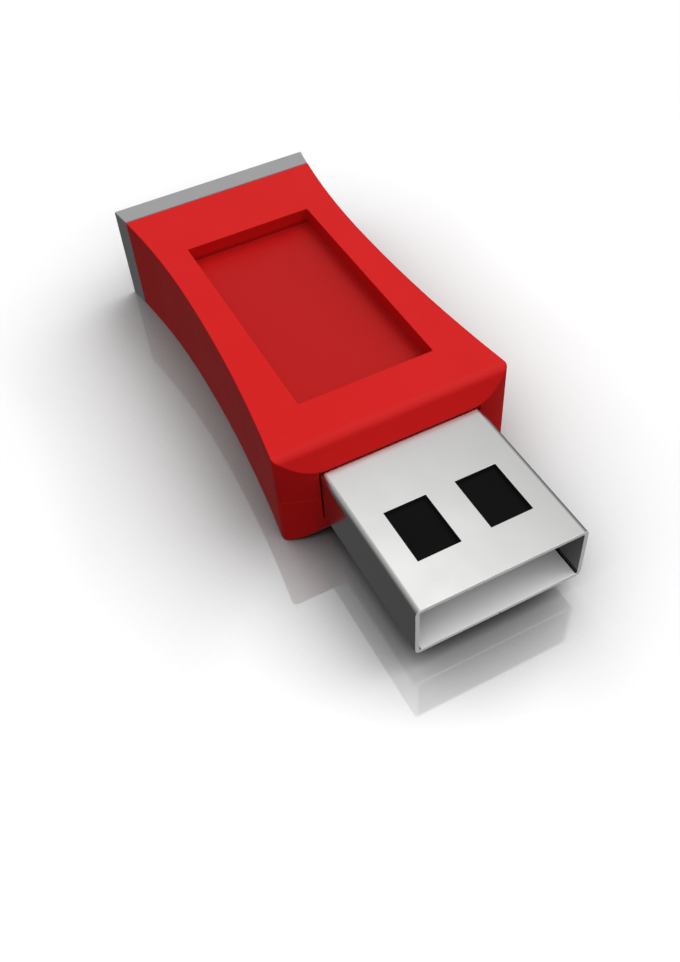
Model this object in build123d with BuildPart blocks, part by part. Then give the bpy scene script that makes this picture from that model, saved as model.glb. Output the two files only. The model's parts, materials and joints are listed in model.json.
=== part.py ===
from build123d import *
import os

# USB flash drive, millimetres. +Z is up, the plug points along -Y, and the
# origin is the centre of the bottom of the whole drive.

# --- Housing ---
body_length = 32.0  # front face to rear face, cap included
body_height = 8.0
front_flat = 11.0  # straight middle of the front edge
shoulder_width = 17.5  # across the two front corners
shoulder_setback = 1.03  # how far the corners lie behind the front face
waist_width = 14.74
waist_from_rear = 12.0
rear_width = 16.74
corner_softening = 0.5
slope_length = 1.0  # the top front edge slopes down to the plug
slope_drop = 1.6
slope_rounding = 0.9  # where the top turns into the slope
bottom_roll = 1.1  # rounding under the bottom front edge
wall = 1.0  # side walls, floor and plain ceiling
split_height = 4.0  # joint plane between the two shells
nose_depth = 4.7  # solid front block that grips the plug
lip_width = 0.45  # locating lip between the shells
lip_height = 0.6
lip_clearance = 0.05

# --- Label recess in the top ---
recess_width = 10.2
recess_length = 19.45
recess_setback = 4.74  # behind the housing's front face
recess_depth = 1.3
recess_floor = 0.8  # plastic left under the recess
recess_rim = 0.9  # thick ceiling behind the recess

# --- Rear cap ---
cap_thickness = 1.85
cap_gap = 0.1  # shadow line between cap and shells
spigot_depth = 2.3
spigot_clearance = 0.08
spigot_wall = 0.8

# --- Standard-A plug ---
plug_width = 12.0
plug_height = 4.5
plug_exposed = 12.0
plug_buried = 4.6  # length of the shell inside the housing
plug_centre_height = 4.0
plug_clearance = 0.05  # housing around the plug
sheet = 0.3  # steel thickness
fold_radius = 0.1  # inside of each fold
seam_width = 0.06  # hairline underneath, where the folded sheet meets itself
seam_depth = 0.12
window_width = 3.0
window_length = 4.2
window_setback = 3.05  # behind the mouth
window_bridge = 2.1  # steel between the two windows
leg_length = 2.1  # side tabs that reach the board
leg_height = 2.8
peg_diameter = 1.5  # pegs of the lower shell in the plug's underside
peg_clearance = 0.05
peg_spacing = 6.4
peg_setback = 2.3  # behind the housing's front face

# --- Insulator and contacts, on the upper side of the plug ---
tongue_setback = 2.3  # behind the mouth
tongue_height = 1.84  # down from the upper sheet, contacts facing down
tongue_side_gap = 0.05
tongue_lead_in = 0.5
block_setback = 10.2  # full-height rear block, behind the mouth
block_length = 5.8
contact_width = 1.0
contact_thickness = 0.25
power_setback = 3.9  # power contacts start nearer the mouth
data_setback = 4.9
power_spacing = 7.0
data_spacing = 2.0
tail_length = 1.7  # contact resting on the board

# --- Solder ---
solder_spread = 0.28  # wetted width on each side of a contact
solder_height = 0.2
solder_slope = 40  # degrees
solder_toe = 0.2  # bare end of a tail, nearest the plug
leg_solder_setback = 0.4  # behind the plug shell
leg_solder_length = 1.5
leg_fillet_size = 0.5
solder_gap = 0.1  # between the solder of a contact and of a leg

# --- Circuit board ---
board_width = 12.0
board_thickness = 0.8
board_length = 22.6
board_gap = 0.1  # behind the plug shell
notch_clearance = 0.05

# --- Memory chip, under the board ---
memory_size = (12.0, 18.4, 1.0)
memory_reach = 20.0  # over the tips of its leads
memory_leads_per_end = 24
memory_setback = 12.3  # its centre, behind the board's front edge

# --- Controller chip, on top of the board ---
controller_size = (7.0, 7.0, 1.4)
controller_reach = 9.0
controller_leads_per_side = 12
controller_setback = 10.3

# --- Leads of both chips ---
lead_pitch = 0.5
lead_width = 0.22
lead_thickness = 0.13
lead_foot = 0.4
lead_knee = 0.45  # share of the way to the heel at which a lead bends down
standoff = 0.1  # chip body above the board
chip_draft = 8  # degrees on the moulded sides
dimple_depth = 0.08  # pin-one mark
memory_dimple = (0.5, 1.6)  # radius, distance from both edges
controller_dimple = (0.35, 1.2)

# --- Small parts on top of the board: x, distance behind the board's front edge ---
crystal_size = (3.2, 5.0, 0.7)
crystal_lid_size = (2.6, 4.4, 0.3)
crystal_place = (-2.8, 18.2)
crystal_corner = 0.3
crystal_lid_corner = 0.4
crystal_lid_edge = 0.1
capacitor_size = (0.8, 1.6, 0.8)
capacitor_places = [(-5.3, 8.5), (5.3, 8.5), (-5.3, 12.1), (5.3, 12.1)]
resistor_size = (0.5, 1.0, 0.35)
resistor_places = [(1.0, 16.8), (2.2, 16.8), (3.4, 16.8), (4.6, 16.8)]
bead_size = (1.25, 2.0, 0.9)
bead_place = (3.6, 3.4)
tantalum_size = (1.6, 2.6, 1.1)
tantalum_place = (-3.5, 3.7)
suppressor_size = (2.9, 1.3, 1.0)
suppressor_reach = 2.4
suppressor_place = (0.0, 3.7)
suppressor_lead_pitch = 0.95
suppressor_lead_width = 0.36
suppressor_bevel = 0.12
led_size = (1.6, 0.8, 0.35)
led_lens_size = (1.0, 0.8, 0.3)
led_place = (0.0, 21.6)
led_lens_bevel = 0.1
terminal_length = 0.28
terminal_lap = 0.02  # plating proud of the body on each side
test_pad_diameter = 0.9
test_pad_thickness = 0.05
test_pad_spacing = 1.3
test_pad_place = (2.8, 19.3)

# --- Supports ---
rib_width = 0.7
chip_rib_spacing = 7.0
chip_rib_length = 13.0
post_diameter = 1.1
post_leg_gap = 0.35  # between a front post and the leg beside it
front_post_setback = 1.0  # behind the board's front edge
clamp_post_spacing = 10.4
clamp_post_setbacks = (4.2, 21.6)

# --- Places worked out from the sizes above ---
overall_length = body_length + plug_exposed
mouth_y = -overall_length / 2
front_y = mouth_y + plug_exposed
rear_y = front_y + body_length
cap_front_y = rear_y - cap_thickness
shell_rear_y = cap_front_y - cap_gap
cavity_front_y = front_y + nose_depth
ceiling_z = body_height - wall
recess_floor_z = body_height - recess_depth
low_ceiling_z = recess_floor_z - recess_floor
recess_front_y = front_y + recess_setback
recess_rear_y = recess_front_y + recess_length

plug_bottom_z = plug_centre_height - plug_height / 2
plug_rear_y = front_y + plug_buried
inner_width = plug_width - 2 * sheet
inner_floor_z = plug_bottom_z + sheet
inner_ceiling_z = plug_bottom_z + plug_height - sheet
tongue_bottom_z = inner_ceiling_z - tongue_height
contact_top_z = tongue_bottom_z + contact_thickness
block_front_y = mouth_y + block_setback
block_rear_y = block_front_y + block_length

board_top_z = tongue_bottom_z  # the contacts' tails lie on the board
board_bottom_z = board_top_z - board_thickness
board_front_y = plug_rear_y + board_gap
tail_rear_y = board_front_y + tail_length
memory_y = board_front_y + memory_setback
memory_bottom_z = board_bottom_z - standoff - memory_size[2]
controller_y = board_front_y + controller_setback
leg_bottom_z = board_bottom_z - (leg_height - board_thickness) / 2


def cut_box(low, high, mode=Mode.SUBTRACT):
    """A box from its lowest to its highest corner."""
    size = [high[axis] - low[axis] for axis in range(3)]
    middle = [(high[axis] + low[axis]) / 2 for axis in range(3)]
    with Locations(tuple(middle)):
        Box(*size, mode=mode)


def on_board(place, lift=0.0):
    """A point on the board's top, from x and the distance behind its front edge."""
    return (place[0], board_front_y + place[1], board_top_z + lift)


# --- Shapes shared by the housing's pieces ---
with BuildSketch() as body_outline:
    with BuildLine():
        shoulder = (shoulder_width / 2, front_y + shoulder_setback)
        waist = (waist_width / 2, rear_y - waist_from_rear)
        front_edge = Line((0, front_y), (front_flat / 2, front_y))
        TangentArc(front_edge @ 1, shoulder, tangent=(1, 0))
        TangentArc(waist, shoulder, tangent=(0, -1))
        side = TangentArc(waist, (rear_width / 2, rear_y), tangent=(0, 1))
        Line(side @ 1, (0, rear_y))
        mirror(about=Plane.YZ)
    make_face()
    shoulders = body_outline.vertices().filter_by(
        lambda corner: abs(corner.Y - shoulder[1]) < 0.01 and abs(corner.X) > front_flat / 2
    )
    fillet(shoulders, radius=corner_softening)

with BuildSketch() as cavity_outline:
    add(body_outline.sketch)
    offset(amount=-wall)
    with Locations((0, cavity_front_y)):
        Rectangle(shoulder_width, body_length, align=(Align.CENTER, Align.MIN), mode=Mode.INTERSECT)

with BuildPart() as body_envelope:
    with BuildSketch():
        add(body_outline.sketch)
    extrude(amount=body_height)
    with BuildSketch(Plane.YZ) as side_profile:
        # in this sketch X runs along the body and Y is the height
        with BuildLine():
            Polyline(
                (front_y, 0),
                (front_y, body_height - slope_drop),
                (front_y + slope_length, body_height),
                (rear_y, body_height),
                (rear_y, 0),
                close=True,
            )
        make_face()
        slope_top = side_profile.vertices().group_by(Axis.Y)[-1].sort_by(Axis.X)[0]
        fillet(slope_top, radius=slope_rounding)
        bottom_front = side_profile.vertices().group_by(Axis.Y)[0].sort_by(Axis.X)[0]
        fillet(bottom_front, radius=bottom_roll)
    extrude(amount=shoulder_width, both=True, mode=Mode.INTERSECT)


def cavity(bottom_z, top_z, mode=Mode.SUBTRACT):
    """The hollow behind the front block, between two heights."""
    with BuildSketch(Plane.XY.offset(bottom_z)) as hollow:
        add(cavity_outline.sketch)
    extrude(hollow.sketch, amount=top_z - bottom_z, mode=mode)


def plug_channel():
    """The slot through the front block that the steel plug lies in."""
    half_width = plug_width / 2 + plug_clearance
    half_height = plug_height / 2 + plug_clearance
    cut_box(
        (-half_width, front_y - 1, plug_centre_height - half_height),
        (half_width, cavity_front_y + wall, plug_centre_height + half_height),
    )


with BuildPart() as lower_shell:
    add(body_envelope.part)
    split(bisect_by=Plane.XY.offset(split_height), keep=Keep.BOTTOM)
    split(bisect_by=Plane.XZ.offset(-shell_rear_y), keep=Keep.TOP)
    cavity(wall, split_height)
    # locating lip round the hollow, standing above the joint
    with BuildSketch(Plane.XY.offset(split_height)):
        add(cavity_outline.sketch)
        offset(amount=lip_width)
        add(cavity_outline.sketch, mode=Mode.SUBTRACT)
        with Locations((0, shell_rear_y - spigot_depth)):
            Rectangle(shoulder_width, body_length, align=(Align.CENTER, Align.MAX), mode=Mode.INTERSECT)
    extrude(amount=lip_height)
    # ribs that carry the memory chip, and posts under the board's front edge
    with Locations((0, memory_y, wall)):
        with GridLocations(chip_rib_spacing, 0, 2, 1):
            Box(
                rib_width,
                chip_rib_length,
                memory_bottom_z - wall,
                align=(Align.CENTER, Align.CENTER, Align.MIN),
            )
    front_post_spacing = inner_width - 2 * post_leg_gap - post_diameter
    with Locations((0, board_front_y + front_post_setback, wall)):
        with GridLocations(front_post_spacing, 0, 2, 1):
            Cylinder(
                post_diameter / 2,
                board_bottom_z - wall,
                align=(Align.CENTER, Align.CENTER, Align.MIN),
            )
    plug_channel()
    # pegs that lock the plug's steel shell lengthways
    with Locations((0, front_y + peg_setback, plug_bottom_z - plug_clearance)):
        with GridLocations(peg_spacing, 0, 2, 1):
            Cylinder(
                peg_diameter / 2,
                plug_clearance + sheet,
                align=(Align.CENTER, Align.CENTER, Align.MIN),
            )
lower_shell.part.label = "lower_shell"

with BuildPart() as upper_shell:
    add(body_envelope.part)
    split(bisect_by=Plane.XY.offset(split_height), keep=Keep.TOP)
    split(bisect_by=Plane.XZ.offset(-shell_rear_y), keep=Keep.TOP)
    cavity(split_height, ceiling_z)
    # thicker ceiling below the label recess
    with BuildSketch(Plane.XY.offset(low_ceiling_z)):
        add(cavity_outline.sketch)
        with Locations((0, recess_rear_y + recess_rim)):
            Rectangle(shoulder_width, body_length, align=(Align.CENTER, Align.MAX), mode=Mode.INTERSECT)
    extrude(amount=ceiling_z - low_ceiling_z)
    cut_box(
        (-recess_width / 2, recess_front_y, recess_floor_z),
        (recess_width / 2, recess_rear_y, body_height + 1),
    )
    # rebate for the lower shell's lip
    with BuildSketch(Plane.XY.offset(split_height)):
        add(cavity_outline.sketch)
        offset(amount=lip_width + lip_clearance)
        with Locations((0, shell_rear_y - spigot_depth + lip_clearance)):
            Rectangle(shoulder_width, body_length, align=(Align.CENTER, Align.MAX), mode=Mode.INTERSECT)
    extrude(amount=lip_height + lip_clearance, mode=Mode.SUBTRACT)
    # posts that clamp the board
    for setback in clamp_post_setbacks:
        post_y = board_front_y + setback
        roof_z = ceiling_z if post_y > recess_rear_y + recess_rim else low_ceiling_z
        with Locations((0, post_y, board_top_z)):
            with GridLocations(clamp_post_spacing, 0, 2, 1):
                Cylinder(
                    post_diameter / 2,
                    roof_z - board_top_z,
                    align=(Align.CENTER, Align.CENTER, Align.MIN),
                )
    plug_channel()
upper_shell.part.label = "upper_shell"

# --- Rear cap: a plate of the body's outline with a hollow spigot ---
with BuildPart() as rear_cap:
    add(body_envelope.part)
    split(bisect_by=Plane.XZ.offset(-cap_front_y), keep=Keep.BOTTOM)
    spigot_tip_y = shell_rear_y - spigot_depth
    with BuildSketch(Plane.XY.offset(wall + spigot_clearance)) as spigot_outline:
        add(body_outline.sketch)
        offset(amount=-wall - spigot_clearance)
        with Locations((0, spigot_tip_y)):
            Rectangle(
                shoulder_width,
                cap_front_y - spigot_tip_y,
                align=(Align.CENTER, Align.MIN),
                mode=Mode.INTERSECT,
            )
    extrude(amount=ceiling_z - wall - 2 * spigot_clearance)
    with BuildSketch(Plane.XY.offset(wall + spigot_clearance + spigot_wall)):
        add(body_outline.sketch)
        offset(amount=-wall - spigot_clearance - spigot_wall)
        with Locations((0, spigot_tip_y)):
            Rectangle(
                shoulder_width,
                cap_front_y - spigot_tip_y,
                align=(Align.CENTER, Align.MIN),
                mode=Mode.INTERSECT,
            )
    extrude(
        amount=ceiling_z - wall - 2 * (spigot_clearance + spigot_wall), mode=Mode.SUBTRACT
    )
rear_cap.part.label = "rear_cap"

# --- Steel plug shell: one folded sheet with four windows and two legs ---
with BuildPart() as plug_shell:
    with BuildSketch(Plane.XZ.offset(-mouth_y)):
        with Locations((0, plug_centre_height)):
            RectangleRounded(plug_width, plug_height, fold_radius + sheet)
            RectangleRounded(
                inner_width, plug_height - 2 * sheet, fold_radius, mode=Mode.SUBTRACT
            )
    extrude(amount=mouth_y - plug_rear_y)
    window_y = mouth_y + window_setback + window_length / 2
    with Locations((0, window_y, plug_centre_height)):
        with GridLocations(window_bridge + window_width, 0, 2, 1):
            Box(window_width, window_length, plug_height + sheet, mode=Mode.SUBTRACT)
    with Locations((0, front_y + peg_setback, plug_bottom_z)):
        with GridLocations(peg_spacing, 0, 2, 1):
            Cylinder(peg_diameter / 2 + peg_clearance, 3 * sheet, mode=Mode.SUBTRACT)
    cut_box(
        (-seam_width / 2, mouth_y - 1, plug_bottom_z - sheet),
        (seam_width / 2, plug_rear_y + 1, plug_bottom_z + seam_depth),
    )
    with Locations((0, plug_rear_y, leg_bottom_z)):
        with GridLocations(plug_width - sheet, 0, 2, 1):
            Box(sheet, leg_length, leg_height, align=(Align.CENTER, Align.MIN, Align.MIN))
plug_shell.part.label = "plug_shell"


def contact_strip(x, setback, mode):
    """One flat contact, from its tip in the tongue to its tail on the board."""
    cut_box(
        (x - contact_width / 2, mouth_y + setback, tongue_bottom_z),
        (x + contact_width / 2, tail_rear_y, contact_top_z),
        mode=mode,
    )


contact_rows = {
    "vbus_contact": (-power_spacing / 2, power_setback),
    "data_minus_contact": (-data_spacing / 2, data_setback),
    "data_plus_contact": (data_spacing / 2, data_setback),
    "ground_contact": (power_spacing / 2, power_setback),
}

# --- Insulator: the tongue and its full-height rear block ---
with BuildPart() as plug_tongue:
    half_tongue = inner_width / 2 - tongue_side_gap
    cut_box(
        (-half_tongue, mouth_y + tongue_setback, tongue_bottom_z),
        (half_tongue, block_rear_y, inner_ceiling_z),
        mode=Mode.ADD,
    )
    tip_edge = plug_tongue.edges().filter_by(Axis.X).group_by(Axis.Y)[0].sort_by(Axis.Z)[0]
    chamfer(tip_edge, length=tongue_lead_in)
    cut_box(
        (-half_tongue, block_front_y, inner_floor_z),
        (half_tongue, block_rear_y, tongue_bottom_z),
        mode=Mode.ADD,
    )
    fillet(plug_tongue.edges().filter_by(Axis.Y), radius=fold_radius)
    for x, setback in contact_rows.values():
        contact_strip(x, setback, Mode.SUBTRACT)
plug_tongue.part.label = "plug_tongue"

contacts = []
for contact_name, (x, setback) in contact_rows.items():
    with BuildPart() as contact:
        contact_strip(x, setback, Mode.ADD)
    contact.part.label = contact_name
    contacts.append(contact.part)

# --- Circuit board with a notch for each leg of the plug shell ---
with BuildPart() as circuit_board:
    cut_box(
        (-board_width / 2, board_front_y, board_bottom_z),
        (board_width / 2, board_front_y + board_length, board_top_z),
        mode=Mode.ADD,
    )
    notch_inner = inner_width / 2 - notch_clearance
    notch_rear_y = plug_rear_y + leg_length + notch_clearance
    for low_x, high_x in ((notch_inner, plug_width), (-plug_width, -notch_inner)):
        cut_box((low_x, board_front_y - 1, 0), (high_x, notch_rear_y, body_height))
circuit_board.part.label = "circuit_board"

# --- Solder on the contacts' tails and on the plug shell's legs ---
solder_length = tail_length - solder_toe
with BuildPart() as contact_solder:
    with BuildSketch(Plane.XY.offset(board_top_z)):
        for x, setback in contact_rows.values():
            with Locations((x, tail_rear_y - solder_length / 2 + solder_spread / 2)):
                Rectangle(contact_width + 2 * solder_spread, solder_length + solder_spread)
    extrude(amount=solder_height, taper=solder_slope)
    for x, setback in contact_rows.values():
        contact_strip(x, setback, Mode.SUBTRACT)
contact_solder.part.label = "contact_solder"

outer_solder_x = (power_spacing + contact_width) / 2 + solder_spread
leg_fillet = min(leg_fillet_size, inner_width / 2 - outer_solder_x - solder_gap)
with BuildPart() as leg_solder:
    for side in (-1, 1):
        leg_face_x = side * inner_width / 2
        with BuildSketch(Plane.XZ.offset(-(plug_rear_y + leg_solder_setback))):
            with BuildLine():
                Polyline(
                    (leg_face_x, board_top_z),
                    (leg_face_x, board_top_z + leg_fillet),
                    (leg_face_x - side * leg_fillet / 3, board_top_z + leg_fillet / 3),
                    (leg_face_x - side * leg_fillet, board_top_z),
                    close=True,
                )
            make_face()
        extrude(amount=-leg_solder_length)
leg_solder.part.label = "leg_solder"


# --- Chips ---
def chip_body(size, centre, base_z, rise):
    """A moulded chip: its sides slope both ways from its middle."""
    middle_z = base_z + rise * (standoff + size[2] / 2)
    for direction in (1, -1):
        with BuildSketch(Plane.XY.offset(middle_z)) as middle:
            with Locations(centre):
                Rectangle(size[0], size[1])
        extrude(middle.sketch, amount=direction * size[2] / 2, taper=chip_draft)


def pin_one_dimple(size, centre, face_z, dimple):
    """The round mark near the corner that holds pin one."""
    radius, inset = dimple
    with Locations((centre[0] - size[0] / 2 + inset, centre[1] - size[1] / 2 + inset, face_z)):
        Cylinder(radius, 2 * dimple_depth, mode=Mode.SUBTRACT)


def lead_plane(centre, outward, rise):
    """The plane of one lead: its x runs outward and its y away from the board."""
    outward = Vector(*outward)
    return Plane(origin=centre, x_dir=outward, z_dir=outward.cross(Vector(0, 0, rise)))


def lead_planes(centre, base_z, outward, rise, count):
    """Planes for a row of leads along one side of a chip."""
    planes = []
    for place in range(count):
        shift = (place - (count - 1) / 2) * lead_pitch
        along = (centre[0] + shift * outward[1], centre[1] + shift * outward[0], base_z)
        planes.append(lead_plane(along, outward, rise))
    return planes


def gull_wing(body_half, tip_half, exit_height):
    """A bent lead: out of the body, down to the board, and a flat foot."""
    heel = tip_half - lead_foot
    knee = body_half + (heel - body_half) * lead_knee
    with BuildLine() as bent_strip:
        Polyline(
            (body_half, exit_height),
            (knee + lead_thickness, exit_height),
            (heel + lead_thickness, lead_thickness),
            (tip_half, lead_thickness),
            (tip_half, 0),
            (heel, 0),
            (knee, exit_height - lead_thickness),
            (body_half, exit_height - lead_thickness),
            close=True,
        )
    make_face(bent_strip.edges())


with BuildPart() as memory_chip:
    chip_body(memory_size, (0, memory_y), board_bottom_z, -1)
    pin_one_dimple(memory_size, (0, memory_y), memory_bottom_z, memory_dimple)
memory_chip.part.label = "memory_chip"

with BuildPart() as memory_leads:
    planes = []
    for outward in ((0, 1, 0), (0, -1, 0)):
        planes += lead_planes((0, memory_y), board_bottom_z, outward, -1, memory_leads_per_end)
    with BuildSketch(*planes):
        gull_wing(memory_size[1] / 2, memory_reach / 2, standoff + memory_size[2] / 2)
    extrude(amount=lead_width / 2, both=True)
memory_leads.part.label = "memory_leads"

with BuildPart() as controller_chip:
    chip_body(controller_size, (0, controller_y), board_top_z, 1)
    controller_top_z = board_top_z + standoff + controller_size[2]
    pin_one_dimple(controller_size, (0, controller_y), controller_top_z, controller_dimple)
controller_chip.part.label = "controller_chip"

with BuildPart() as controller_leads:
    planes = []
    for outward in ((0, 1, 0), (0, -1, 0), (1, 0, 0), (-1, 0, 0)):
        planes += lead_planes((0, controller_y), board_top_z, outward, 1, controller_leads_per_side)
    with BuildSketch(*planes):
        gull_wing(controller_size[0] / 2, controller_reach / 2, standoff + controller_size[2] / 2)
    extrude(amount=lead_width / 2, both=True)
controller_leads.part.label = "controller_leads"

seated = (Align.CENTER, Align.CENTER, Align.MIN)

with BuildPart() as suppressor:
    with Locations(on_board(suppressor_place, standoff)):
        Box(*suppressor_size, align=seated)
    chamfer(suppressor.edges().group_by(Axis.Z)[-1], length=suppressor_bevel)
suppressor.part.label = "suppressor"

with BuildPart() as suppressor_leads:
    planes = []
    for outward in (-1, 1):
        for step in (-1, 0, 1):
            foot_x = suppressor_place[0] + step * suppressor_lead_pitch
            foot = on_board((foot_x, suppressor_place[1]))
            planes.append(lead_plane(foot, (0, outward, 0), 1))
    with BuildSketch(*planes):
        gull_wing(suppressor_size[1] / 2, suppressor_reach / 2, standoff + suppressor_size[2] / 2)
    extrude(amount=suppressor_lead_width / 2, both=True)
suppressor_leads.part.label = "suppressor_leads"

with BuildPart() as crystal_base:
    with Locations(on_board(crystal_place)):
        Box(*crystal_size, align=seated)
    fillet(crystal_base.edges().filter_by(Axis.Z), radius=crystal_corner)
crystal_base.part.label = "crystal_base"

with BuildPart() as crystal_lid:
    with Locations(on_board(crystal_place, crystal_size[2])):
        Box(*crystal_lid_size, align=seated)
    fillet(crystal_lid.edges().filter_by(Axis.Z), radius=crystal_lid_corner)
    fillet(crystal_lid.edges().group_by(Axis.Z)[-1], radius=crystal_lid_edge)
crystal_lid.part.label = "crystal_lid"


# --- Two-ended parts: a body between two metal terminals ---
def two_ended_bodies(size, places):
    """The bodies between the terminals."""
    with Locations(*[on_board(place) for place in places]):
        Box(size[0], size[1] - 2 * terminal_length, size[2], align=seated)


def two_ended_terminals(size, places):
    """The metal at both ends of each body."""
    for place in places:
        with Locations(on_board(place)):
            with GridLocations(0, size[1] - terminal_length, 1, 2):
                Box(
                    size[0] + 2 * terminal_lap,
                    terminal_length,
                    size[2] + terminal_lap,
                    align=seated,
                )


with BuildPart() as capacitor_bodies:
    two_ended_bodies(capacitor_size, capacitor_places)
capacitor_bodies.part.label = "capacitor_bodies"

with BuildPart() as resistor_bodies:
    two_ended_bodies(resistor_size, resistor_places)
resistor_bodies.part.label = "resistor_bodies"

with BuildPart() as ferrite_bead:
    two_ended_bodies(bead_size, [bead_place])
ferrite_bead.part.label = "ferrite_bead"

with BuildPart() as tantalum_capacitor:
    two_ended_bodies(tantalum_size, [tantalum_place])
tantalum_capacitor.part.label = "tantalum_capacitor"

with BuildPart() as component_terminals:
    two_ended_terminals(capacitor_size, capacitor_places)
    two_ended_terminals(resistor_size, resistor_places)
    two_ended_terminals(bead_size, [bead_place])
    two_ended_terminals(tantalum_size, [tantalum_place])
component_terminals.part.label = "component_terminals"

# --- Activity light ---
with BuildPart() as led_base:
    with Locations(on_board(led_place)):
        Box(*led_size, align=seated)
led_base.part.label = "led_base"

with BuildPart() as led_lens:
    with Locations(on_board(led_place, led_size[2])):
        Box(*led_lens_size, align=seated)
    chamfer(led_lens.edges().group_by(Axis.Z)[-1], length=led_lens_bevel)
led_lens.part.label = "led_lens"

with BuildPart() as test_pads:
    with Locations(on_board(test_pad_place)):
        with GridLocations(test_pad_spacing, test_pad_spacing, 3, 2):
            Cylinder(test_pad_diameter / 2, test_pad_thickness, align=seated)
test_pads.part.label = "test_pads"

pieces = [
    upper_shell.part,
    lower_shell.part,
    rear_cap.part,
    plug_shell.part,
    plug_tongue.part,
    *contacts,
    circuit_board.part,
    contact_solder.part,
    leg_solder.part,
    memory_chip.part,
    memory_leads.part,
    controller_chip.part,
    controller_leads.part,
    suppressor.part,
    suppressor_leads.part,
    crystal_base.part,
    crystal_lid.part,
    capacitor_bodies.part,
    resistor_bodies.part,
    ferrite_bead.part,
    tantalum_capacitor.part,
    component_terminals.part,
    led_base.part,
    led_lens.part,
    test_pads.part,
]
os.makedirs("parts", exist_ok=True)
for piece in pieces:
    export_step(piece, f"parts/{piece.label}.step")
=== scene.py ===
import json
import math

import bmesh
import bpy
from mathutils import Matrix, Vector


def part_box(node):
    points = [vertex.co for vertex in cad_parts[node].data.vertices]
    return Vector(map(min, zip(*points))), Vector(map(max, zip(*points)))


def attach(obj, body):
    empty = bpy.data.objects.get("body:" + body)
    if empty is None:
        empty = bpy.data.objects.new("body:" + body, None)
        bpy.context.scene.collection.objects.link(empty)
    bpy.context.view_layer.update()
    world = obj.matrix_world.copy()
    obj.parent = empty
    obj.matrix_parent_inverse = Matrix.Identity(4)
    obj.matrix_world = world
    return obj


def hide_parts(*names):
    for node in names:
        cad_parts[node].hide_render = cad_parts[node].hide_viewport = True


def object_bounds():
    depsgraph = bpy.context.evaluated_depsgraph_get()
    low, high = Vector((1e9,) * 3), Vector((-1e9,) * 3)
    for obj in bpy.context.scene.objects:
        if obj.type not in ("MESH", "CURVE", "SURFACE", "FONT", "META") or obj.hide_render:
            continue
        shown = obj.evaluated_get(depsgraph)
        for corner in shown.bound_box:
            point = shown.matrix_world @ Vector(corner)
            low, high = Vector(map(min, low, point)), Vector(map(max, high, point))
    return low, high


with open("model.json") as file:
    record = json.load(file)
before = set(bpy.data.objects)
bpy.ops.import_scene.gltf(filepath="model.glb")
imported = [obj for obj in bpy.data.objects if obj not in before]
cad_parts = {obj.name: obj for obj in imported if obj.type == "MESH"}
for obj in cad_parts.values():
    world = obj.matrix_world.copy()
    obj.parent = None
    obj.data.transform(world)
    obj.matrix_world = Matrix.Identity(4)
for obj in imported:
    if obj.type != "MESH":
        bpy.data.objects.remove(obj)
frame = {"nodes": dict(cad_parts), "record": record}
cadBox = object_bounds()
mm = 0.001
scene = bpy.context.scene
scene.view_settings.view_transform = "Standard"
scene.view_settings.look = "None"


def toward(azimuth, elevation):  # unit vector, degrees round from +X and up from the floor
    around, up = math.radians(azimuth), math.radians(elevation)
    return Vector((math.cos(around) * math.cos(up), math.sin(around) * math.cos(up), math.sin(up)))


viewpoint = {
    "lens": 37.88,  # mm, along the view's long side
    "sensor": 36,  # mm
    "nearest": 1 * mm,
    "furthest": 20,
    "azimuth": 246.03,
    "elevation": 49.14,
    "roll": -4.59,
    "distance": 72.14 * mm,
    "target": Vector((-2.96, -6.18, 0.0)) * mm,
}


def addCamera(look):
    back = toward(look["azimuth"], look["elevation"])
    right = Vector((0, 0, 1)).cross(back).normalized()
    turned = Matrix.Rotation(math.radians(look["roll"]), 3, back)
    axes = Matrix((turned @ right, turned @ back.cross(right), back)).transposed()
    data = bpy.data.cameras.new("camera")
    data.lens = look["lens"]
    data.sensor_width = look["sensor"]
    data.clip_start = look["nearest"]
    data.clip_end = look["furthest"]
    camera = bpy.data.objects.new("camera", data)
    scene.collection.objects.link(camera)
    place = Matrix.Translation(look["target"] + back * look["distance"])
    camera.matrix_world = place @ axes.to_4x4()
    scene.camera = camera


addCamera(viewpoint)
print("stage: camera in place")

sky = {
    "panels": [  # soft panels: direction, brightness, (degrees away, share of it)
        {
            "toward": toward(62, 60),  # behind and to the right, it shows in the plug's top
            "brightness": 2.0,
            "falloff": [(0, 2.7), (4, 1.5), (8, 0.45), (12, 0.20), (20, 0.13), (45, 0.06), (80, 0)],
        },
        {
            "toward": toward(258, 70),  # above and in front
            "brightness": 2.75,
            "falloff": [(0, 1.0), (15, 0.9), (30, 0.45), (42, 0.08), (55, 0)],
        },
    ],
    "dome": [  # height as a sine, below the horizon and above it, and brightness
        (-1.0, 0.07),
        (0.0, 0.09),
        (0.12, 0.20),
        (0.5, 0.31),
        (1.0, 0.42),
    ],
}


def skyRamp(tree, source, stops):
    made = tree.nodes.new("ShaderNodeValToRGB")
    made.color_ramp.interpolation = "B_SPLINE"
    elements = made.color_ramp.elements
    while len(elements) < len(stops):
        elements.new(0.5)
    for element, (position, brightness) in zip(elements, stops):
        element.position = position
        element.color = (brightness, brightness, brightness, 1)
    tree.links.new(source, made.inputs["Fac"])
    return made.outputs["Color"]


def skyMath(tree, operation, first, second=None):
    made = tree.nodes.new("ShaderNodeMath")
    made.operation = operation
    tree.links.new(first, made.inputs[0])
    if second is not None:
        made.inputs[1].default_value = second
    return made.outputs["Value"]


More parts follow.
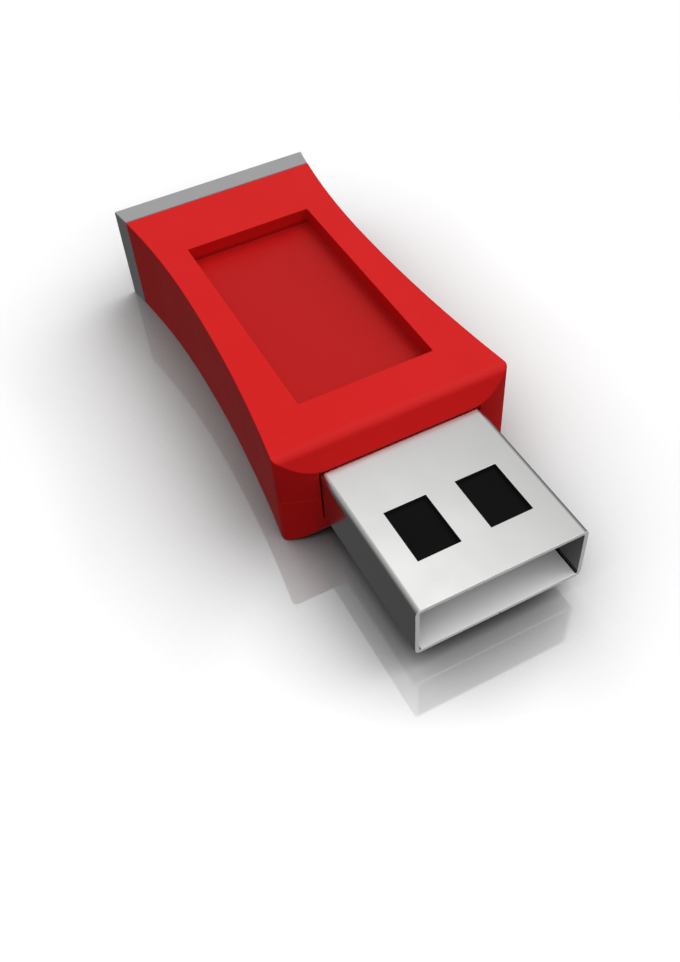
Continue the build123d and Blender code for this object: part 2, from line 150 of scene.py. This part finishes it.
def addSky(look):
    world = bpy.data.worlds.new("softSky")
    scene.world = world
    world.use_nodes = True
    tree = world.node_tree
    place = tree.nodes.new("ShaderNodeTexCoord").outputs["Generated"]
    axes = tree.nodes.new("ShaderNodeSeparateXYZ")
    tree.links.new(place, axes.inputs["Vector"])
    height = skyMath(tree, "MULTIPLY", skyMath(tree, "ADD", axes.outputs["Z"], 1.0), 0.5)
    dome = [((sine + 1) / 2, brightness) for sine, brightness in look["dome"]]
    total = skyRamp(tree, height, dome)
    for panel in look["panels"]:
        lean = tree.nodes.new("ShaderNodeVectorMath")
        lean.operation = "DOT_PRODUCT"
        lean.inputs[1].default_value = panel["toward"]
        tree.links.new(place, lean.inputs[0])
        angle = skyMath(tree, "ARCCOSINE", lean.outputs["Value"])
        stops = [(away / 180, share * panel["brightness"]) for away, share in panel["falloff"]]
        glow = skyRamp(tree, skyMath(tree, "DIVIDE", angle, math.pi), stops)
        both = tree.nodes.new("ShaderNodeVectorMath")
        both.operation = "ADD"
        tree.links.new(total, both.inputs[0])
        tree.links.new(glow, both.inputs[1])
        total = both.outputs["Vector"]
    tree.links.new(total, tree.nodes["Background"].inputs["Color"])


keyLamp = {
    "from": toward(8, 42),
    "brightness": 0.67,  # light on a white card that faces it
    "softness": 66,  # degrees across
}


def addLamp(look):
    data = bpy.data.lights.new("keyLamp", "SUN")
    data.energy = look["brightness"] * math.pi
    data.angle = math.radians(look["softness"])
    lamp = bpy.data.objects.new("keyLamp", data)
    scene.collection.objects.link(lamp)
    lamp.rotation_euler = (-look["from"]).to_track_quat("-Z", "Y").to_euler()
    lamp.visible_glossy = False  # the sky alone shows in the steel


floorLook = {
    "radius": 1.5,
    "drop": 0.02 * mm,  # just below the lowest point
    "shade": (0.88, 0.88, 0.88),
    "mirror": 0.22,
    "roughness": 0.035,
    "contactReach": 15 * mm,  # how far the contact shadow spreads
    "contactDepth": 1.5,
}


def addFloor(look):
    mesh = bpy.data.meshes.new("floor")
    build = bmesh.new()
    bmesh.ops.create_circle(build, cap_ends=True, segments=96, radius=look["radius"])
    build.to_mesh(mesh)
    build.free()
    floor = bpy.data.objects.new("floor", mesh)
    scene.collection.objects.link(floor)
    floor.location.z = cadBox[0][2] - look["drop"]
    material = bpy.data.materials.new("paleFloor")
    material.use_nodes = True
    tree = material.node_tree
    shader = tree.nodes["Principled BSDF"]
    shader.inputs["Metallic"].default_value = look["mirror"]
    shader.inputs["Roughness"].default_value = look["roughness"]
    shader.inputs["Specular IOR Level"].default_value = 0
    # painted contact shadow: ambient occlusion darkens the floor's own colour near the object
    nearby = tree.nodes.new("ShaderNodeAmbientOcclusion")
    nearby.inputs["Distance"].default_value = look["contactReach"]
    deeper = tree.nodes.new("ShaderNodeMath")
    deeper.operation = "POWER"
    deeper.inputs[1].default_value = look["contactDepth"]
    tree.links.new(nearby.outputs["AO"], deeper.inputs[0])
    tint = tree.nodes.new("ShaderNodeVectorMath")
    tint.operation = "SCALE"
    tint.inputs[0].default_value = look["shade"]
    tree.links.new(deeper.outputs["Value"], tint.inputs["Scale"])
    tree.links.new(tint.outputs["Vector"], shader.inputs["Base Color"])
    mesh.materials.append(material)
    floor.visible_diffuse = False
    floor.visible_glossy = False


backdropLook = {"radius": 1.6, "colour": (1, 1, 1, 1)}


def addBackdrop(look):
    mesh = bpy.data.meshes.new("backdrop")
    build = bmesh.new()
    bmesh.ops.create_uvsphere(build, u_segments=64, v_segments=32, radius=look["radius"])
    build.to_mesh(mesh)
    build.free()
    backdrop = bpy.data.objects.new("backdrop", mesh)
    scene.collection.objects.link(backdrop)
    material = bpy.data.materials.new("paleBackdrop")
    material.use_nodes = True
    tree = material.node_tree
    glow = tree.nodes.new("ShaderNodeEmission")
    glow.inputs["Color"].default_value = look["colour"]
    tree.links.new(glow.outputs["Emission"], tree.nodes["Material Output"].inputs["Surface"])
    mesh.materials.append(material)
    for way in ("visible_diffuse", "visible_glossy", "visible_transmission", "visible_shadow"):
        setattr(backdrop, way, False)


addSky(sky)
addLamp(keyLamp)
addFloor(floorLook)
addBackdrop(backdropLook)
print("stage: studio lit")


class Surface:
    # a material being wired up, with short ways to add nodes to it
    def __init__(self, name):
        self.material = bpy.data.materials.new(name)
        self.material.use_nodes = True
        self.tree = self.material.node_tree
        self.shader = self.tree.nodes["Principled BSDF"]
        self.coordinates = self.node("ShaderNodeTexCoord")
        self.place = self.coordinates.outputs["Object"]

    def node(self, kind, **values):
        made = self.tree.nodes.new(kind)
        for key, value in values.items():
            setattr(made, key, value)
        return made

    def link(self, source, target):
        self.tree.links.new(source, target)

    def stretched(self, across, along, up):  # object space in millimetres, scaled by axis
        mapping = self.node("ShaderNodeMapping")
        mapping.inputs["Scale"].default_value = (across / mm, along / mm, up / mm)
        self.link(self.place, mapping.inputs["Vector"])
        return mapping.outputs["Vector"]

    def noise(self, scale=(1, 1, 1), detail=4.0, roughness=0.55):
        made = self.node("ShaderNodeTexNoise")
        made.inputs["Scale"].default_value = 1.0
        made.inputs["Detail"].default_value = detail
        made.inputs["Roughness"].default_value = roughness
        self.link(self.stretched(*scale), made.inputs["Vector"])
        return made.outputs["Fac"]

    def spread(self, value, low, high, fromLow=0.3, fromHigh=0.7):
        made = self.node("ShaderNodeMapRange")
        made.inputs["From Min"].default_value = fromLow
        made.inputs["From Max"].default_value = fromHigh
        made.inputs["To Min"].default_value = low
        made.inputs["To Max"].default_value = high
        self.link(value, made.inputs["Value"])
        return made.outputs["Result"]

    def times(self, first, second):
        made = self.node("ShaderNodeMath", operation="MULTIPLY")
        self.link(first, made.inputs[0])
        if isinstance(second, float):
            made.inputs[1].default_value = second
        else:
            self.link(second, made.inputs[1])
        return made.outputs["Value"]

    def mix(self, amount, first, second):  # from a linked value to a fixed one
        made = self.node("ShaderNodeMix", data_type="FLOAT")
        self.link(amount, made.inputs["Factor"])
        self.link(first, made.inputs["A"])
        made.inputs["B"].default_value = second
        return made.outputs["Result"]

    def blend(self, amount, first, second):
        made = self.node("ShaderNodeMix", data_type="RGBA")
        self.link(amount, made.inputs["Factor"])
        for socket, colour in ((made.inputs[6], first), (made.inputs[7], second)):
            if isinstance(colour, tuple):
                socket.default_value = (*colour, 1)
            else:
                self.link(colour, socket)
        return made.outputs[2]

    def edges(self, radius, sharpness=0.35):  # 1 on worn outer edges, 0 elsewhere
        softened = self.node("ShaderNodeBevel", samples=6)
        softened.inputs["Radius"].default_value = radius * mm
        face = self.node("ShaderNodeNewGeometry")
        match = self.node("ShaderNodeVectorMath", operation="DOT_PRODUCT")
        self.link(softened.outputs["Normal"], match.inputs[0])
        self.link(face.outputs["Normal"], match.inputs[1])
        made = self.node("ShaderNodeMapRange")
        made.inputs["From Min"].default_value = 1.0
        made.inputs["From Max"].default_value = 1.0 - sharpness
        self.link(match.outputs["Value"], made.inputs["Value"])
        return made.outputs["Result"]

    def bumps(self, heights):  # (height, depth in millimetres) pairs, one on top of another
        normal = None
        for height, depth in heights:
            made = self.node("ShaderNodeBump")
            made.inputs["Strength"].default_value = 1.0
            made.inputs["Distance"].default_value = depth * mm
            self.link(height, made.inputs["Height"])
            if normal:
                self.link(normal, made.inputs["Normal"])
            normal = made.outputs["Normal"]
        self.link(normal, self.shader.inputs["Normal"])

    def set(self, **values):
        for key, value in values.items():
            socket = self.shader.inputs[key.replace("_", " ")]
            if isinstance(value, (int, float)):
                socket.default_value = value
            elif isinstance(value, tuple):
                socket.default_value = (*value, 1)
            else:
                self.link(value, socket)


redPlastic = {
    "colour": (0.503, 0.0070, 0.0070),
    "deeper": (0.487, 0.0064, 0.0064),
    "worn": (0.60, 0.045, 0.035),
    "roughness": (0.36, 0.42),
    "specular": 0.10,
    "grain": 14.0,  # grains per millimetre
    "grainDepth": 0.0009,
}
greyPlastic = {
    "colour": (0.262, 0.262, 0.262),
    "deeper": (0.250, 0.250, 0.251),
    "worn": (0.36, 0.36, 0.36),
    "roughness": (0.38, 0.46),
    "specular": 0.2,
    "grain": 14.0,
    "grainDepth": 0.0009,
}
insulatorPlastic = {
    "colour": (0.0026, 0.0026, 0.0028),
    "deeper": (0.0019, 0.0019, 0.0020),
    "worn": (0.012, 0.012, 0.012),
    "roughness": (0.50, 0.60),
    "specular": 0.06,
    "grain": 10.0,
    "grainDepth": 0.001,
}
moulding = {  # the same for every moulded piece, scales per millimetre
    "cloudScale": 0.25,
    "rubRadius": 0.10,
    "rubScale": 1.5,
    "rubAmount": (0.05, 0.45),
    "smearScale": (0.6, 0.35, 0.6),
}
recessMiddle = Vector(frame["record"]["mounts"][2]["pos_m"])
labelRecess = {  # the sunk panel in the top, spark-eroded with a coarser bump grain; its colour is darkened as painted shade in the recess
    "low": recessMiddle - Vector((5.1, 9.72, 0.35)) * mm,
    "high": recessMiddle + Vector((5.1, 9.72, 0.35)) * mm,
    "paintedShadeShare": 0.72,
    "grain": 5.0,
    "grainDepth": 0.0030,
}


def insideBox(surface, low, high):  # 1 on what lies between two corners, 0 elsewhere
    away = surface.node("ShaderNodeVectorMath", operation="SUBTRACT")
    surface.link(surface.place, away.inputs[0])
    away.inputs[1].default_value = (low + high) / 2
    size = surface.node("ShaderNodeVectorMath", operation="ABSOLUTE")
    surface.link(away.outputs["Vector"], size.inputs[0])
    axes = surface.node("ShaderNodeSeparateXYZ")
    surface.link(size.outputs["Vector"], axes.inputs["Vector"])
    inside = None
    for axis, half in zip("XYZ", (high - low) / 2):
        near = surface.node("ShaderNodeMath", operation="LESS_THAN")
        surface.link(axes.outputs[axis], near.inputs[0])
        near.inputs[1].default_value = half
        inside = surface.times(inside, near.outputs["Value"]) if inside else near.outputs["Value"]
    return inside


def mouldedPlastic(name, look, panel=None):
    surface = Surface(name)
    cloud = surface.spread(surface.noise((moulding["cloudScale"],) * 3, detail=3), 0.0, 1.0)
    colour = surface.blend(cloud, look["colour"], look["deeper"])
    patches = surface.noise((moulding["rubScale"],) * 3)
    rub = surface.times(
        surface.edges(moulding["rubRadius"]),
        surface.spread(patches, *moulding["rubAmount"], fromLow=0.4),
    )
    smear = surface.spread(surface.noise(moulding["smearScale"], detail=5), *look["roughness"])
    bumps = [(surface.noise((look["grain"],) * 3, detail=2), look["grainDepth"])]
    if panel:
        # painted shade: the recess gets a darker copy of the red, and only its coarser bump grain
        # is real texture
        inside = insideBox(surface, panel["low"], panel["high"])
        recessShade = tuple(panel["paintedShadeShare"] * channel for channel in look["colour"])
        colour = surface.blend(inside, colour, recessShade)
        coarse = surface.noise((panel["grain"],) * 3, detail=3)
        bumps.append((surface.times(coarse, inside), panel["grainDepth"]))
    surface.set(
        Base_Color=surface.blend(rub, colour, look["worn"]),
        Roughness=smear,
        Specular_IOR_Level=look["specular"],
    )
    surface.bumps(bumps)
    return surface.material


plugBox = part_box("plug_shell")
steelFinish = {
    "colour": (0.655, 0.652, 0.645),
    "dull": (0.625, 0.622, 0.615),
    "roughness": (0.19, 0.23),
    "grainAlong": 0.05,  # the rolled grain runs along the plug
    "grainAcross": 22.0,
    "grainDepth": 0.0003,
    "scratchScale": (6.0, 0.12, 6.0),
    "scratchRange": (0.60, 0.68),
    "scratchDepth": 0.0004,
    "cloudScale": 0.3,
    "cloudRange": (0.35, 0.75),
    "innerFloor": {  # the dull lower face inside the mouth
        "low": plugBox[0] + Vector((0.42, -0.15, 0.28)) * mm,
        "high": plugBox[1] - Vector((0.42, 0.0, 1.2)) * mm,
    },
    "floorColour": (0.94, 0.94, 0.94),
    "floorMetal": 0.10,
    "floorRoughness": 0.55,
    # painted shade: the steel inside the plug gets a much darker colour than outside
    "innerShadeBox": {
        "low": plugBox[0] + Vector((0.15, -0.15, 0.28)) * mm,
        "high": plugBox[1] - Vector((0.15, 0.0, 0.28)) * mm,
    },
    "innerShadeColour": (0.16, 0.16, 0.16),
    "mouthRim": {  # the sheared edge of the sheet, dull as the floor
        "low": plugBox[0] - Vector((0.1, 0.1, 0.1)) * mm,
        "high": Vector((plugBox[1].x, plugBox[0].y, plugBox[1].z)) + Vector((0.1, 0.1, 0.1)) * mm,
    },
    "rimFacing": -0.6,  # how squarely the rim faces the front
}


def platedSteel(name, look):
    surface = Surface(name)
    rolled = surface.noise((look["grainAcross"], look["grainAlong"], look["grainAcross"]), detail=3)
    clouds = surface.noise((look["cloudScale"],) * 3, detail=4)
    scratches = surface.noise(look["scratchScale"], detail=6, roughness=0.7)
    fine = surface.spread(scratches, 0.0, 1.0, *look["scratchRange"])
    dulled = surface.spread(clouds, 0.0, 1.0, *look["cloudRange"])
    outer = surface.blend(dulled, look["colour"], look["dull"])
    # painted shade inside the plug: a darker copy of the steel
    outer = surface.blend(insideBox(surface, **look["innerShadeBox"]), outer, look["innerShadeColour"])
    facing = surface.node("ShaderNodeSeparateXYZ")
    surface.link(surface.coordinates.outputs["Normal"], facing.inputs["Vector"])
    sheared = surface.node("ShaderNodeMath", operation="LESS_THAN")
    surface.link(facing.outputs["Y"], sheared.inputs[0])
    sheared.inputs[1].default_value = look["rimFacing"]
    rim = surface.times(sheared.outputs["Value"], insideBox(surface, **look["mouthRim"]))
    unplated = surface.node("ShaderNodeMath", operation="MAXIMUM")
    surface.link(insideBox(surface, **look["innerFloor"]), unplated.inputs[0])
    surface.link(rim, unplated.inputs[1])
    inside = unplated.outputs["Value"]
    surface.set(
        Base_Color=surface.blend(inside, outer, look["floorColour"]),
        Metallic=surface.spread(inside, 1.0, look["floorMetal"], 0.0, 1.0),
        Roughness=surface.mix(
            inside, surface.spread(clouds, *look["roughness"]), look["floorRoughness"]
        ),
    )
    surface.bumps([(rolled, look["grainDepth"]), (fine, look["scratchDepth"])])
    return surface.material


smallMetal = {"dullShare": 0.72, "roughnessBelow": 0.06, "roughnessAbove": 0.08, "depth": 0.002}


def platedMetal(name, colour, roughness, speckle=6.0):  # contacts, leads, solder, lids
    surface = Surface(name)
    cloud = surface.noise((speckle,) * 3, detail=4)
    darker = tuple(smallMetal["dullShare"] * channel for channel in colour)
    smoothest = roughness - smallMetal["roughnessBelow"]
    roughest = roughness + smallMetal["roughnessAbove"]
    surface.set(
        Base_Color=surface.blend(surface.spread(cloud, 0.0, 1.0, 0.4, 0.75), colour, darker),
        Metallic=1.0,
        Roughness=surface.spread(cloud, smoothest, roughest),
    )
    surface.bumps([(cloud, smallMetal["depth"])])
    return surface.material


smallBody = {
    "speckle": 9.0,
    "roughnessBelow": 0.05,
    "roughnessAbove": 0.08,
    "specular": 0.4,
    "depth": 0.003,
}


def smallPart(name, colour, roughness, contrast=0.7):  # ceramics, resins, chip bodies
    surface = Surface(name)
    speck = surface.noise((smallBody["speckle"],) * 3, detail=5)
    darker = tuple(contrast * channel for channel in colour)
    smoothest = roughness - smallBody["roughnessBelow"]
    roughest = roughness + smallBody["roughnessAbove"]
    surface.set(
        Base_Color=surface.blend(surface.spread(speck, 0.0, 1.0, 0.35, 0.65), colour, darker),
        Roughness=surface.spread(speck, smoothest, roughest),
        Specular_IOR_Level=smallBody["specular"],
    )
    surface.bumps([(speck, smallBody["depth"])])
    return surface.material


boardFinish = {
    "mask": (0.010, 0.115, 0.040),
    "trace": (0.020, 0.190, 0.070),
    "tracePitch": 1.6,
    "traceWidth": 0.06,
    "traceLength": 1.9,
    "traceSpacing": 0.42,
    "traceDepth": 0.01,
    "roughness": (0.25, 0.36),
    "grain": 12.0,
    "grainDepth": 0.002,
}


def solderMask(name, look):
    surface = Surface(name)
    tracks = surface.node("ShaderNodeTexBrick")
    tracks.inputs["Scale"].default_value = 1.0
    tracks.inputs["Mortar Size"].default_value = look["traceWidth"]
    tracks.inputs["Brick Width"].default_value = look["traceLength"]
    tracks.inputs["Row Height"].default_value = look["traceSpacing"]
    surface.link(surface.stretched(*(look["tracePitch"],) * 3), tracks.inputs["Vector"])
    copper = tracks.outputs["Fac"]
    surface.set(
        Base_Color=surface.blend(copper, look["mask"], look["trace"]),
        Roughness=surface.spread(surface.noise((2, 2, 2)), *look["roughness"]),
    )
    grain = surface.noise((look["grain"],) * 3)
    surface.bumps([(copper, look["traceDepth"]), (grain, look["grainDepth"])])
    return surface.material


lensFinish = {
    "colour": (0.85, 0.16, 0.08),
    "deeper": (0.7, 0.1, 0.05),
    "roughness": 0.12,
    "clear": 0.6,
    "depth": 0.003,
}


def tintedLens(name, look):
    surface = Surface(name)
    swirl = surface.noise((3, 3, 3))
    surface.set(
        Base_Color=surface.blend(surface.spread(swirl, 0, 1), look["colour"], look["deeper"]),
        Roughness=look["roughness"],
        Transmission_Weight=look["clear"],
        IOR=1.5,
    )
    surface.bumps([(swirl, look["depth"])])
    return surface.material


materials = {
    "red_plastic": mouldedPlastic("redPlastic", redPlastic, labelRecess),
    "grey_plastic": mouldedPlastic("greyPlastic", greyPlastic),
    "plug_steel": platedSteel("platedSteel", steelFinish),
    "insulator_plastic": mouldedPlastic("blackInsulator", insulatorPlastic),
    "gold_plating": platedMetal("goldPlating", (0.78, 0.52, 0.18), 0.30),
    "board_green": solderMask("solderMask", boardFinish),
    "chip_black": smallPart("chipResin", (0.022, 0.022, 0.024), 0.55, contrast=0.6),
    "tinned_metal": platedMetal("tinPlate", (0.72, 0.72, 0.71), 0.30),
    "solder": platedMetal("solderMetal", (0.66, 0.66, 0.65), 0.24, speckle=3.0),
    "crystal_ceramic": smallPart("darkCeramic", (0.09, 0.085, 0.08), 0.6),
    "crystal_metal": platedMetal("crystalLid", (0.70, 0.66, 0.56), 0.28),
    "capacitor_ceramic": smallPart("tanCeramic", (0.34, 0.20, 0.10), 0.5),
    "resistor_black": smallPart("blackGlaze", (0.015, 0.015, 0.016), 0.25),
    "ferrite_grey": smallPart("ferrite", (0.05, 0.05, 0.052), 0.7),
    "tantalum_yellow": smallPart("yellowResin", (0.62, 0.36, 0.03), 0.5, contrast=0.85),
    "led_white": smallPart("whiteMoulding", (0.80, 0.80, 0.76), 0.4, contrast=0.9),
    "led_clear": tintedLens("tintedLens", lensFinish),
    "pad_gold": platedMetal("padGold", (0.80, 0.55, 0.22), 0.26),
}
print("stage: materials made")

slotOf = {part["node"]: part["material_slot"] for part in frame["record"]["subparts"]}
bodyOf = {
    node: body
    for body, members in frame["record"]["behaviour"]["bodies"].items()
    for node in members
}
roundedPieces = {  # node: edge radius in millimetres
    "upper_shell": 0.09,
    "lower_shell": 0.09,
    "rear_cap": 0.09,
    "plug_shell": 0.05,
    "plug_tongue": 0.06,
    "vbus_contact": 0.06,
    "data_minus_contact": 0.06,
    "data_plus_contact": 0.06,
    "ground_contact": 0.06,
    "circuit_board": 0.04,
    "memory_chip": 0.05,
    "controller_chip": 0.05,
    "suppressor": 0.04,
    "crystal_base": 0.04,
    "capacitor_bodies": 0.05,
    "resistor_bodies": 0.03,
    "ferrite_bead": 0.05,
    "tantalum_capacitor": 0.05,
    "component_terminals": 0.03,
    "led_base": 0.03,
    "led_lens": 0.03,
    "contact_solder": 0.06,
    "leg_solder": 0.06,
}
rounding = {
    "sharpAngle": math.radians(28),  # edges that turn more than this are rounded
    "flatAngle": math.radians(0.4),
    "shadingAngle": math.radians(40),
    "steps": 3,
    "jointRadius": 0.03,  # where the two shells meet
    "jointHeight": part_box("upper_shell")[0][2],
    "weld": 0.0005 * mm,
    "nearJoint": 0.01 * mm,
}


def roundEdges(build, chosen, radius):
    bmesh.ops.bevel(
        build,
        geom=chosen,
        offset=radius * mm,
        offset_type="OFFSET",
        segments=rounding["steps"],
        profile=0.5,
        affect="EDGES",
        clamp_overlap=True,
    )


def sharpEdges(build, atJoint):
    chosen = []
    for edge in build.edges:
        if len(edge.link_faces) != 2 or edge.calc_face_angle(0) <= rounding["sharpAngle"]:
            continue
        level = all(
            abs(end.co.z - rounding["jointHeight"]) < rounding["nearJoint"] for end in edge.verts
        )
        if level == atJoint:
            chosen.append(edge)
    return chosen


def roundedPiece(node, radius):
    # the node's own solid, rebuilt with flat faces whole again and its sharp edges rounded
    mesh = bpy.data.meshes.new(node + "Rounded")
    build = bmesh.new()
    build.from_mesh(frame["nodes"][node].data)
    bmesh.ops.remove_doubles(build, verts=build.verts, dist=rounding["weld"])
    bmesh.ops.dissolve_limit(
        build, angle_limit=rounding["flatAngle"], verts=build.verts, edges=build.edges
    )
    roundEdges(build, sharpEdges(build, atJoint=False), radius)
    if node in ("upper_shell", "lower_shell"):
        roundEdges(build, sharpEdges(build, atJoint=True), rounding["jointRadius"])
    bmesh.ops.recalc_face_normals(build, faces=build.faces)
    build.to_mesh(mesh)
    build.free()
    for face in mesh.polygons:
        face.use_smooth = True
    mesh.set_sharp_from_angle(angle=rounding["shadingAngle"])
    piece = bpy.data.objects.new(node + "_rounded", mesh)
    scene.collection.objects.link(piece)
    weighted = piece.modifiers.new("flatFaces", "WEIGHTED_NORMAL")
    weighted.keep_sharp = True
    return piece


for node, cadPiece in frame["nodes"].items():
    look = materials[slotOf[node]]
    for place in cadPiece.material_slots:
        place.material = look
    if node not in roundedPieces:
        continue
    piece = roundedPiece(node, roundedPieces[node])
    piece.data.materials.append(look)
    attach(piece, bodyOf[node])
    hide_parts(node)
print("stage: pieces finished")
